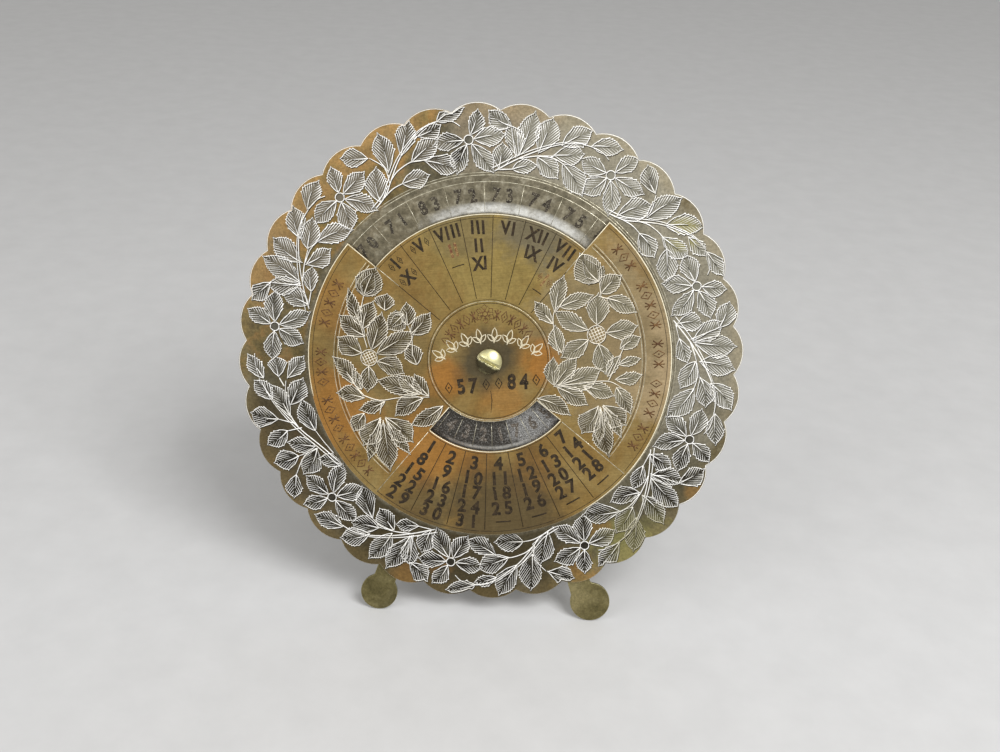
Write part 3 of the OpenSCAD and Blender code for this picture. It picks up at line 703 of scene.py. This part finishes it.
def disc_brass():
    material, place = new_finish("disc_brass", metallic=0.85, turned=disc_turned)
    colour = ramp(noise(place, 0.06, 6, 0.6, 0.5), (0.30, (0.23, 0.135, 0.040)), (0.50, (0.31, 0.20, 0.065)),
                  (0.70, (0.37, 0.27, 0.105)))
    worn, lifted = (0.200, 0.150, 0.065), (0.44, 0.20, 0.045)
    # Of these spots, the grey patch round the screw at (0, 1) is grime and painted shade.
    colour = spotted(
        place, colour, ((6, 36), 30, 0.8, (0.36, 0.27, 0.090)), ((44, 4), 34, 0.7, (0.44, 0.355, 0.21)),
        ((56, -2), 26, 0.8, (0.53, 0.40, 0.235)), ((-37, 4), 26, 0.55, worn), ((37, 4), 26, 0.55, worn),
        ((-52, -12), 18, 0.7, lifted), ((-22, -28), 15, 0.75, lifted), ((16, -2), 9, 0.9, lifted),
        ((-15, -4), 8, 0.85, lifted), ((-46, 22), 12, 0.35, lifted), ((10, -40), 10, 0.4, lifted),
        ((4, -13), 9, 0.5, lifted), ((-6, -34), 8, 0.4, lifted), ((2, -54), 27, 0.8, (0.105, 0.080, 0.042)),
        ((-26, -50), 14, 0.6, (0.115, 0.088, 0.045)), ((0, 1), 13, 0.9, (0.095, 0.080, 0.048), 1.0),
        ((20, 44), 17, 0.75, (0.17, 0.155, 0.115)), ((-4, 45), 14, 0.45, (0.17, 0.145, 0.090)))
    specks = noise(place, 1.3, 4, 0.7)
    colour = mix(0.4, colour, ramp(specks, (0.3, 0.32), (0.7, 0.70)), "OVERLAY")
    rubbed = noise(squeezed(place, (0.12, 2.4, 1), 0.35), 1.0, 5, 0.65)
    colour = mix(0.3, colour, ramp(rubbed, (0.35, 0.35), (0.65, 0.66)), "OVERLAY")
    roughness = ramp(noise(place, 0.3, 5, 0.6), (0.3, 0.32), (0.7, 0.52))
    relief = mix(0.45, ramp(rubbed, (0.3, 0.0), (0.7, 1.0)), specks)
    return dress(material, colour, roughness, relief, 0.35, 0.05, edge=(0.70, 0.60, 0.38), edge_reach=0.25)


give(disc_brass(), "front_disc")

fan_edges = [90 + (i - 3.5) * column_pitch for i in range(8)]
date_edges = [angle + 180 for angle in fan_edges]
fan, dates = fan_edges[::7], date_edges[::7]
medallion_r = 20.3
window_r = 47.75
weekday_window_r = 30.4
disc_r = 59.25
field_rim_r = 50.2
paler_from_r = 38

dark_lines, light_lines, sawn_burr_and_highlight_lines = [], [], []
for angle in fan_edges[1:-1]:
    spoke_cut(dark_lines, angle, medallion_r + 0.6, window_r - 0.5, 0.34)
for angle in date_edges[1:-1]:
    spoke_cut(dark_lines, angle, weekday_window_r + 0.8, disc_r - 1.8, 0.38)
for angle in fan:
    spoke_cut(dark_lines, angle, medallion_r + 0.6, paler_from_r, 0.36)
    spoke_cut(light_lines, angle, paler_from_r, window_r - 0.4, 0.36)
for angle in dates:
    spoke_cut(light_lines, angle, weekday_window_r + 0.8, disc_r - 1.0, 0.34)
arc_cut(dark_lines, weekday_window_r + 0.8, *dates, 0.3)
arc_cut(dark_lines, disc_r - 1.2, *dates, 0.3)
arc_cut(dark_lines, window_r - 1.2, *fan, 0.24)
for side in ((-44, 44), (136, 224)):
    arc_cut(light_lines, field_rim_r - 0.6, *side, 0.3)
    arc_cut(dark_lines, field_rim_r, *side, 0.3)
    arc_cut(light_lines, field_rim_r + 0.6, *side, 0.26)
    arc_cut(dark_lines, disc_r - 1.5, *side, 0.26)
arc_cut(dark_lines, medallion_r - 1.2, 0, 360, 0.34)
arc_cut(light_lines, medallion_r - 0.6, 0, 360, 0.26)
arc_cut(dark_lines, medallion_r - 0.1, dates[1], dates[0] + 360, 0.24)
# A bright line along the sawn edges, partly the burr rubbed bright and partly a painted highlight on the
# edges towards the lamp; it is left out at the disc's lower left, which lies in shade
for start, end, width in ((-45, 45, 0.46), (135, 187, 0.34), (297, 315, 0.3)):
    arc_cut(sawn_burr_and_highlight_lines, disc_r - 0.2, start, end, width)
arc_cut(sawn_burr_and_highlight_lines, window_r - 0.18, *fan, 0.36)
arc_cut(sawn_burr_and_highlight_lines, weekday_window_r + 0.18, *dates, 0.36)
arc_cut(light_lines, medallion_r - 0.12, *dates, 0.2)
for side in (0, 1):
    spoke_cut(sawn_burr_and_highlight_lines, fan[side] + 0.2 * (2 * side - 1), window_r, disc_r - 0.2, 0.36)
    spoke_cut(sawn_burr_and_highlight_lines, dates[side] + 0.4 * (2 * side - 1), medallion_r, weekday_window_r, 0.36)

fresh_wax = black_wax("fresh_wax", (0.018, 0.014, 0.010), (0.055, 0.038, 0.022), (0.42, 0.30, 0.12), 0.68)
cut("disc_wax_lines", dark_lines, fresh_wax, disc_face)
cut("disc_bright_lines", light_lines, scribed, disc_face)
cut("disc_burr_and_highlight", sawn_burr_and_highlight_lines, bright_cut("rubbed_burr_and_highlight", (0.97, 0.91, 0.72)), disc_face)


# ---------------------------------------------------------------- flowers engraved on the disc
# Two fields between the fans, each with a large flower round a cross-hatched middle, sprays of toothed
# leaves, a bud above and a half-opened flower below. The cuts are finer than those on the rim, and greyer.

# Leaves and petals: base and tip on the disc, and width
left_field = (
    (-39.6, 11.5, -46.8, 18.6, 5.4), (-40.6, 15.0, -43.2, 26.8, 3.4), (-40.0, 14.0, -36.0, 22.2, 5.2),
    (-32.2, 19.4, -31.0, 24.4, 5.6), (-25.4, 14.0, -25.0, 21.0, 4.4), (-24.5, 11.0, -18.0, 17.0, 5.2),
    (-23.6, 0.8, -25.6, 7.6, 5.0), (-44.6, -4.0, -50.4, 5.2, 4.4), (-42.0, -9.0, -50.4, -6.6, 4.8),
    (-42.6, -6.0, -44.6, 0.6, 2.6), (-24.0, -9.2, -36.6, -3.6, 5.0), (-23.0, -9.0, -30.0, -2.6, 4.6),
    (-20.8, -10.0, -24.6, -2.8, 4.0), (-22.8, -10.6, -32.0, -15.4, 5.4), (-35.4, -10.8, -43.6, -12.8, 3.6),
    (-42.6, -14.2, -46.4, -19.6, 4.6), (-16.6, -13.8, -27.0, -19.2, 4.6))
right_field = (
    (37.8, 19.4, 44.2, 24.4, 5.4), (39.4, 17.6, 48.2, 12.6, 4.8), (22.6, 14.4, 26.0, 25.4, 4.4),
    (24.2, 16.0, 34.6, 18.8, 4.4), (21.6, 10.6, 16.6, 18.0, 3.8), (23.6, 1.0, 22.2, 9.6, 4.4),
    (42.6, 0.8, 49.0, 4.0, 4.0), (42.0, -4.4, 48.6, -3.0, 2.6), (40.4, -9.2, 48.6, -8.4, 3.6),
    (38.0, -8.0, 42.4, -1.6, 3.0), (20.4, -9.6, 20.8, -0.8, 4.2), (20.6, -9.6, 28.0, -1.4, 5.0),
    (22.0, -9.6, 35.4, -5.6, 6.4), (21.4, -10.4, 30.4, -16.6, 5.0), (30.0, -10.6, 39.2, -14.4, 4.4),
    (40.6, -12.0, 44.4, -20.6, 4.4), (14.8, -13.6, 24.6, -19.6, 4.6))
field_stems = (
    ((-42.4, -8.0), (-37.0, -10.2), (-30.0, -9.8), (-20.6, -10.4)),
    ((-39.2, 7.6), (-40.2, 13.0), (-41.4, 19.0)),
    ((-42.0, -8.2), (-44.6, -4.4), (-46.8, -0.6)), ((-40.4, 19.0), (-38.6, 24.6)),
    ((-24.8, 3.6), (-24.4, 10.0), (-25.4, 15.0)), ((-36.4, -11.0), (-37.4, -14.8)),
    ((20.2, -10.0), (29.0, -9.6), (38.0, -9.6), (42.6, -12.6)), ((37.6, 18.6), (37.4, 23.0)),
    ((22.8, 0.4), (22.0, 5.0), (21.8, 13.0), (23.6, 16.4)), ((38.2, -9.4), (41.6, -3.0), (44.0, 1.6)),
    ((30.0, -11.0), (33.8, -15.4)), ((36.8, 18.4), (42.6, 16.4)))
# A flower: its middle and ring, then the tip and width of each petal
open_flowers = (
    ((-39.0, 4.2), 2.7, ((-33.4, 18.2, 6.2), (-23.6, 11.4, 6.4), (-28.4, -1.6, 6.0), (-40.6, -6.6, 5.6),
                         (-48.2, 11.6, 6.6))),
    ((35.3, 6.0), 3.0, ((36.8, 19.0, 6.8), (48.2, 7.8, 6.0), (37.2, -6.6, 6.4), (23.8, -0.4, 5.6),
                        (22.8, 14.4, 5.4))))
# A bud: where it springs from, its tip and its width
buds = (((-38.6, 24.6), (-34.0, 33.0), 8.6), ((-26.4, 17.6), (-31.6, 13.4), 6.2),
        ((37.2, 23.2), (32.0, 32.2), 8.8))
# A half-opened flower, nodding: its calyx and the tips of its petals, with their widths
half_flowers = (
    ((-36.6, -15.0), ((-43.6, -24.6, 7.4), (-27.8, -24.6, 7.4), (-36.0, -33.4, 6.6), (-42.6, -29.6, 3.6),
                      (-29.2, -28.6, 3.4))),
    ((35.0, -16.6), ((28.6, -26.0, 7.4), (42.6, -24.4, 7.2), (36.4, -34.2, 6.2), (33.8, -29.8, 3.2),
                     (40.8, -28.2, 3.2))))

field_line = 0.47
field_hatch = 0.28
field_cuts, field_patches = [], []


def field_leaf(base, tip, width, line=field_line, hatch=field_hatch, **shape):
    leaf(field_cuts, field_patches, base, tip, width, line=line, hatch=hatch, **shape)


for x0, y0, x1, y1, width in left_field + right_field:
    field_leaf((x0, y0), (x1, y1), width * 1.08, fullest=rng.uniform(0.45, 0.56), blunt=0.8)
for points in field_stems:
    stem(field_cuts, points, 0.62, 0.36)
for middle, ring, tips in open_flowers:
    middle = Vector(middle)
    for x, y, width in tips:
        tip = Vector((x, y))
        base = middle + (tip - middle).normalized() * (ring + 0.2)
        field_leaf(base, tip, width, fullest=0.52, blunt=0.9)
    ring_cut(field_cuts, middle, ring, 0.4, 20)
    for turn in (0.35, 0.35 + math.pi / 2):
        along = Vector((math.cos(turn), math.sin(turn)))
        across = Vector((-along.y, along.x))
        for off in (i * ring / 3 for i in (-2, -1, 0, 1, 2)):
            reach = math.sqrt(ring * ring - off * off) * 0.92
            field_cuts.append([(*(middle + across * off + along * end), 0.3) for end in (-reach, reach)])
for base, tip, width in buds:
    base, tip = Vector(base), Vector(tip)
    field_leaf(base, tip, width, fullest=0.45, vein=0.85)
    across = Vector((-(tip - base).y, (tip - base).x)).normalized()
    for side in (across, -across):
        fold = (base, base.lerp(tip, 0.35) + side * width * 0.28, base.lerp(tip, 0.8) + side * 0.6)
        stem(field_cuts, fold, 0.38, 0.2)
        field_leaf(base, base.lerp(tip, 0.3) + side * width * 0.42, 1.8, 0.3, 0)
for calyx, tips in half_flowers:
    calyx = Vector(calyx)
    for x, y, width in tips:
        tip = Vector((x, y))
        field_leaf(calyx + (tip - calyx) * 0.12, tip, width, blunt=0.9, vein=0.7)

field_shade = hatched_shade(
    "field_shade", 0.8, disc_turned, (0.3, 5, 0.65),
    ((0.32, (0.048, 0.034, 0.015)), (0.52, (0.105, 0.083, 0.044)), (0.70, (0.200, 0.170, 0.100))),
    ((0.3, 0.40), (0.7, 0.58)), ((36, 4), 34, 0.65, (0.28, 0.255, 0.175)))
cut("disc_flowers", field_cuts, bright_cut("dull_bright_cut", (0.92, 0.87, 0.77)), disc_face)
# A dark stroke beside each cut on the disc: painted shade
cut("disc_groove_shadows", beside(field_cuts, 0.15, -0.22, 0.45), groove_shade, disc_face, -0.02)
inlay("disc_shading", field_patches, field_shade, disc_face)


# ---------------------------------------------------------------- months and dates on the disc
# Months are numbered I to XII in the upper fan, with the two for leap years in red wax, and the dates run in
# columns of seven weekdays in the lower one. All are punched and filled with wax, and a short bar fills a
# column that has no fifth date.

month_rows = (43.6, 37.8, 32.1)
month_tall = 4.3
# For each column from the left: the months down it. The sign marks those for leap years.
month_columns = ((1, 10), (5,), (8, -2), (3, 2, 11), (6,), (12, 9), (7, 4, -1))
roman = ("I", "II", "III", "IV", "V", "VI", "VII", "VIII", "IX", "X", "XI", "XII")
figure_pitch = {"I": 1.75, "V": 3.3, "X": 3.2}
# A month has lozenges at either side where its column is wide enough
column_half_w, stud_gap, stud_pitch = 4.6, 0.9, 1.6
month_bars = {2: 32.6, 6: 27.6}
date_rows = (34.7, 39.8, 44.9, 49.9, 54.8)
last_date = 31


def lozenge(strokes, middle, turn, w, h, line):
    """A punched lozenge with a dot in it."""
    axes = Matrix.Rotation(turn, 2)
    corners = [Vector(middle) + axes @ Vector(c) for c in ((-w / 2, 0), (0, h / 2), (w / 2, 0), (0, -h / 2))]
    strokes.append([(*corner, line) for corner in [*corners, corners[0]]])
    strokes.append([(*(Vector(middle) + axes @ Vector((0, k))), line * 1.2) for k in (-0.25, 0.25)])


month_marks, leap_marks, month_studs, leap_studs, bars = [], [], [], [], []
date_marks, worn_date_marks = [], []
for i, months in enumerate(month_columns):
    angle = fan_edges[-1] - (i + 0.5) * column_pitch
    for month, r in zip(months, month_rows):
        text = roman[abs(month) - 1]
        marks, studs = (leap_marks, leap_studs) if month < 0 else (month_marks, month_studs)
        half = sum(figure_pitch[mark] for mark in text) / 2
        at = -half
        for mark in text:
            off = math.degrees((at + figure_pitch[mark] / 2) / r)
            marks.append((mark, angle - off, r, month_tall, 90, 0))
            at += figure_pitch[mark]
        spare = min(column_half_w, math.radians(column_pitch) * r / 2 - stud_gap) - half
        for k in range(int(spare / stud_pitch)):
            for side in (1, -1):
                stud_angle = angle - math.degrees(side * (half + stud_gap + stud_pitch * k) / r)
                lozenge(studs, round_plate(stud_angle, r), math.radians(stud_angle - 90), 1.2, 2.9, 0.46)
    if i in month_bars:
        arc_cut(bars, month_bars[i], angle - 3.5, angle + 3.5, 0.5)
for i in range(7):
    angle = date_edges[0] + (i + 0.5) * column_pitch
    for row, r in enumerate(date_rows):
        date = 1 + i + 7 * row
        if date <= last_date:
            marks = worn_date_marks if row > 1 and 0 < i < 6 else date_marks
            marks.append((str(date), angle, r, 4.5, 270, 3.6 + 0.22 * row))
        else:
            arc_cut(bars, r, angle - 2.6, angle + 2.6, 0.75)

red_wax = black_wax("red_wax", (0.130, 0.045, 0.028), (0.20, 0.105, 0.045), (0.34, 0.24, 0.09), 0.55)
worn_wax = black_wax("worn_wax", (0.016, 0.012, 0.008), (0.055, 0.038, 0.022), (0.30, 0.21, 0.09), 0.66)
punch("month_figures", month_marks, fresh_wax, disc_face)
punch("leap_month_figures", leap_marks, red_wax, disc_face)
punch("date_figures", date_marks, fresh_wax, disc_face, narrow=0.92)
punch("worn_date_figures", worn_date_marks, worn_wax, disc_face, narrow=0.92)
cut("month_studs", month_studs + bars, fresh_wax, disc_face)
cut("leap_month_studs", leap_studs, red_wax, disc_face)


# ---------------------------------------------------------------- punched borders and middle of the disc
# Round the rim at either side run groups of small punched stars and lozenges, filled with brown wax. The
# middle has a garland of bright sprigs over a row of plain figures, and a rosette above it.

border_r = 54.9
mark_pitch = 3.35
# Each group: the angle of its middle and how many marks it has
border_groups = ((155, 5), (177.5, 4), (194.5, 4), (211, 5),
                 (33.5, 3), (15, 5), (-2, 3), (-17.5, 4), (-32, 3))
# Each sprig of the garland has a middle petal between two leaning ones: its slant, length and width
sprig_petals = ((0, 4.4, 1.7), (48, 3.0, 1.4), (-48, 3.0, 1.4))
petal_edge = ((0, 0), (0.42, 0.25), (0.5, 0.5), (0.32, 0.8), (0, 1), (-0.32, 0.8), (-0.5, 0.5),
              (-0.42, 0.25), (0, 0))
garland = ((-16.2, 3.4), (-11.8, 6.0), (-7.2, 7.6), (-2.6, 8.4),
           (2.4, 8.4), (7.2, 7.4), (11.8, 5.4), (15.8, 2.8))
sprig_lean = -3.2  # degrees for each millimetre from the middle
rosette_middle, rosette_arc_r = Vector((0.0, 15.6)), 15.4
# The row of plain figures: its pitch, its left end and how high it lies
row_pitch, row_start, row_y = 4.1, -13.95, -7.8


def star(strokes, middle, turn, w, h, line):
    """A punched star: three strokes that cross."""
    axes = Matrix.Rotation(turn, 2)
    for reach in ((w / 2, h / 2.6), (w / 2, -h / 2.6), (0, h / 2)):
        ends = (Vector(middle) + axes @ Vector(reach), Vector(middle) - axes @ Vector(reach))
        strokes.append([(*end, line) for end in ends])


border_cuts, garland_cuts, rosette_cuts, row_marks, row_studs = [], [], [], [], []
for middle_angle, count in border_groups:
    for k in range(count):
        angle = middle_angle + math.degrees((k - (count - 1) / 2) * mark_pitch / border_r)
        shape = lozenge if k % 2 else star
        shape(border_cuts, round_plate(angle, border_r + rng.uniform(-0.15, 0.15)),
              math.radians(angle - 90) + rng.uniform(-askew, askew), 2.4, 3.8, 0.62)
for x, y in garland:
    axes = Matrix.Rotation(math.radians(sprig_lean * x), 2)
    root = Vector((x, y)) + axes @ Vector((0, -1.9))
    garland_cuts.append([(*(root + axes @ Vector((0, k))), 0.62) for k in (-0.7, 0.1)])
    for slant, tall, wide in sprig_petals:
        axes = Matrix.Rotation(math.radians(sprig_lean * x + slant), 2)
        garland_cuts.append([(*(root + axes @ Vector((wide * u, tall * v))), 0.5) for u, v in petal_edge])
ring_cut(rosette_cuts, rosette_middle, 0.8, 0.5, 10)
for k in range(6):
    out = Vector(round_plate(60 * k + 30, 1.0))
    leaf(rosette_cuts, [], rosette_middle + out, rosette_middle + out * 2.9, 1.5, line=0.4, hatch=0)
    shape = lozenge if k % 2 else star
    for angle in (75.5 - 9.0 * k, 104.5 + 9.0 * k):
        shape(rosette_cuts, round_plate(angle, rosette_arc_r), math.radians(angle - 90), 2.0, 3.8, 0.56)
for k, mark in enumerate("-57--84-"):
    place = Vector((row_start + row_pitch * k, row_y + 0.06 * k))
    angle = math.degrees(math.atan2(place.y, place.x))
    if mark == "-":
        lozenge(row_studs, place, 0, 2.2, 3.6, 0.6)
    else:
        row_marks.append((mark, angle, place.length, 5.0, angle, 0))
# A scratch that runs down from the screw
row_studs.append([(-0.4, -9.8, 0.3), (-0.2, -13.0, 0.45), (-0.9, -17.2, 0.2)])

brown_wax = black_wax("brown_wax", (0.075, 0.036, 0.020), (0.17, 0.085, 0.035), (0.40, 0.26, 0.10), 0.62)
cut("border_marks", border_cuts, brown_wax, disc_face)
cut("garland", garland_cuts, bright_cut("cream_cut", (0.72, 0.66, 0.50)), disc_face)
cut("rosette", rosette_cuts, brown_wax, disc_face)
cut("row_studs", row_studs, worn_wax, disc_face)
punch("row_figures", row_marks, worn_wax, disc_face)


# ---------------------------------------------------------------- centre screw
# The brass screw that the disc turns on, with a slotted, domed head. Its dome has been rubbed bright, and its
# Its dome has been rubbed bright and has a painted highlight on top; its slot holds dark grime and
# painted shade, and its lower side has painted shade.

def screw_brass():
    material, place = new_finish("screw_brass", metallic=0.95)
    grime = noise(place, 0.9, 5, 0.7)
    low = ramp(grime, (0.35, (0.09, 0.075, 0.04)), (0.65, (0.38, 0.31, 0.16)))
    high = ramp(grime, (0.30, (0.66, 0.60, 0.30)), (0.60, (0.90, 0.87, 0.50)))
    # Lighter towards the top of the dome: rubbed bright, with a painted highlight. Lower down and in the slot
    # it is darker, with grime and painted shade.
    rubbed_and_lit_crown = ramp(maths("DIVIDE", height_of(place), 5.0), (0.42, 0.0), (0.80, 1.0))
    # Painted shade on the lower side of the head
    below = vector("DOT_PRODUCT", place, (-0.045, -0.087, 0))
    below = maths("ADD", below, maths("MULTIPLY", maths("SUBTRACT", grime, 0.5), 0.25))
    painted_lower_shade = ramp(below, (0.06, 0.0), (0.12, 0.95), (0.30, 0.95), (0.42, 0.6))
    colour = mix(painted_lower_shade, mix(rubbed_and_lit_crown, low, high), (0.040, 0.030, 0.016))
    roughness = ramp(grime, (0.35, 0.50), (0.6, 0.33))
    relief = noise(place, 3.0, 4, 0.6)
    return dress(material, colour, roughness, relief, 0.3, 0.03, edge=(0.85, 0.80, 0.55))


give(screw_brass(), "centre_screw")


# ---------------------------------------------------------------- washers and nut behind the plate
# A flat brass washer, a split spring washer of dull steel and a hexagon brass nut, on the screw's tail. They
# hold the screw in the plate and give the disc its drag.

steel = one_tone("dull_steel", 1.0, (0.8, 5, 0.65),
                 ((0.32, (0.10, 0.085, 0.07)), (0.55, (0.30, 0.29, 0.28)), (0.7, (0.42, 0.42, 0.42))),
                 ((0.3, 0.6), (0.65, 0.3)), (3.0, 4, 0.6), 0.4, 0.03, edge=(0.6, 0.6, 0.6), edge_reach=0.1)
give(fittings_brass, "back_washer", "centre_nut")
give(steel, "spring_washer")


# ---------------------------------------------------------------- front legs
# Two flat strips of 1 mm brass that end in round penny feet, each held by two rivets hammered over behind.
# They have tarnished to olive green, and their cut edges are paler.

def leg_brass():
    material, place = new_finish("leg_brass", metallic=0.85)
    colour = ramp(noise(place, 0.14, 6, 0.65, 0.4), (0.30, (0.095, 0.080, 0.032)),
                  (0.50, (0.180, 0.152, 0.064)), (0.70, (0.270, 0.232, 0.112)))
    colour = spotted(place, colour, ((-27, -88), 9, 0.5, (0.080, 0.068, 0.030)),
                     ((28, -84), 12, 0.7, (0.33, 0.28, 0.135)))
    specks = noise(place, 1.4, 5, 0.7)
    colour = mix(0.6, colour, ramp(specks, (0.3, 0.22), (0.7, 0.75)), "OVERLAY")
    roughness = ramp(noise(place, 0.5, 5, 0.6), (0.3, 0.35), (0.7, 0.6))
    return dress(material, colour, roughness, specks, 0.45, 0.06, edge=(0.50, 0.46, 0.24), edge_reach=0.3)


tarnished = leg_brass()
rivet_brass = turned_brass("rivet_brass", (0.50, 0.40, 0.19), (0.22, 0.17, 0.07), tone=0.6)
give(tarnished, "left_leg", "right_leg")
give(rivet_brass, "left_leg_rivets", "right_leg_rivets")


# ---------------------------------------------------------------- hinge and strut
# A small rolled hinge of 0.8 mm brass, riveted to the plate, carries the folding strut on a peened steel pin.
# The strut is a third strip with a penny foot, riveted on to the hinge's moving leaf.

hinge_brass = turned_brass("hinge_brass", (0.46, 0.36, 0.17), (0.19, 0.145, 0.065), tone=0.2)
give(hinge_brass, "hinge_leaf", "strut_leaf")
give(rivet_brass, "hinge_leaf_rivets", "strut_rivets")
give(steel, "hinge_pin")
give(tarnished, "strut")


# ---------------------------------------------------------------- table and backdrop
# A round pale table, and a backdrop that curves up from it all the way round. They aren't part of the
# calendar.

table_r, backdrop_r, backdrop_h, backdrop_curve = 2.2, 3.2, 3.0, 0.9
bpy.ops.mesh.primitive_circle_add(vertices=96, radius=table_r, fill_type="NGON", location=(0, 0, 0))
table = bpy.context.object
table.name = "table"

bpy.ops.mesh.primitive_circle_add(vertices=96, radius=table_r, location=(0, 0, 0))
backdrop = bpy.context.object
backdrop.name = "backdrop"
bpy.ops.object.mode_set(mode="EDIT")
bpy.ops.mesh.select_all(action="SELECT")
bpy.ops.mesh.extrude_region_move()
bpy.ops.transform.resize(value=(backdrop_r / table_r, backdrop_r / table_r, 1))
bpy.ops.mesh.extrude_region_move(TRANSFORM_OT_translate={"value": (0, 0, backdrop_h)})
bpy.ops.object.mode_set(mode="OBJECT")
fold = backdrop.modifiers.new("fold", "BEVEL")
fold.width = backdrop_curve
fold.segments = 16
fold.limit_method = "ANGLE"
bpy.ops.object.modifier_apply(modifier="fold")
bpy.ops.object.shade_smooth()
# The backdrop is for the eye alone: the even surround goes on lighting the calendar through it
backdrop.visible_diffuse = False
backdrop.visible_glossy = False
backdrop.visible_shadow = False


def paper():
    material = new_finish("paper", metallic=0.0, specular=0.2)[0]
    place = add_node("TexCoord", {}, material.node_tree).outputs["Object"]
    tone = ramp(noise(place, 60, 4, 0.6), (0.3, 0.565), (0.7, 0.600))
    colour = mix(ramp(height_of(place), (0.02, 0.0), (0.7, 1.0)), tone, (0.80, 0.80, 0.80))
    shader = material.node_tree.nodes["Principled BSDF"]
    material.node_tree.links.new(colour, shader.inputs["Base Color"])
    shader.inputs["Roughness"].default_value = 0.7
    return material


for stage_piece in (table, backdrop):
    stage_piece.data.materials.append(paper())


# ---------------------------------------------------------------- light and camera
# One large soft lamp at the upper right, a weaker one at the left, and an even pale surround. The camera
# stands a little above the plate's own axis and to its right.

world = bpy.data.worlds.new("studio")
world.use_nodes = True
bpy.context.scene.world = world
surround = world.node_tree.nodes["Background"]
surround.inputs["Color"].default_value = (1.0, 0.99, 0.97, 1)
surround.inputs["Strength"].default_value = 0.55


def soft_lamp(name, place, size, power):
    """A square lamp that shines at the plate's middle."""
    bpy.ops.object.light_add(type="AREA", location=place)
    lamp = bpy.context.object
    lamp.name = name
    lamp.data.size = size
    lamp.data.energy = power
    lamp.rotation_euler = (plate_middle - Vector(place)).to_track_quat("-Z", "Y").to_euler()


soft_lamp("key_lamp", (0.45, -0.55, 0.85), 0.5, 9)
soft_lamp("fill_lamp", (-0.7, -0.6, 0.5), 0.6, 2.5)

camera_reach = 0.400
camera_rise = math.radians(11.2)
camera_side = math.radians(1.7)
camera_roll = math.radians(2.4)
image_w = 1000
focal_px = 1224
# The middle of the plate lies this far left of and above the middle of the view
aim_right, aim_down = 0.00363, 0.00507

stand = Matrix.Rotation(math.pi / 2 - lean, 3, "X")
towards = stand @ Vector((math.sin(camera_side) * math.cos(camera_rise), math.sin(camera_rise),
                          math.cos(camera_side) * math.cos(camera_rise)))
camera_place = plate_middle + towards * camera_reach
facing = (-towards).to_track_quat("-Z", "Y").to_matrix()
aim = plate_middle + facing @ Vector((aim_right, -aim_down, 0))
bpy.ops.object.camera_add(location=camera_place)
camera = bpy.context.object
camera.data.sensor_width = 36
camera.data.lens = camera.data.sensor_width * focal_px / image_w
look = (aim - camera_place).to_track_quat("-Z", "Y").to_matrix().to_4x4()
camera.matrix_world = Matrix.Translation(camera_place) @ look @ Matrix.Rotation(camera_roll, 4, "Z")
bpy.context.scene.camera = camera
bpy.context.scene.view_settings.view_transform = "Standard"

bpy.data.objects.remove(graver)
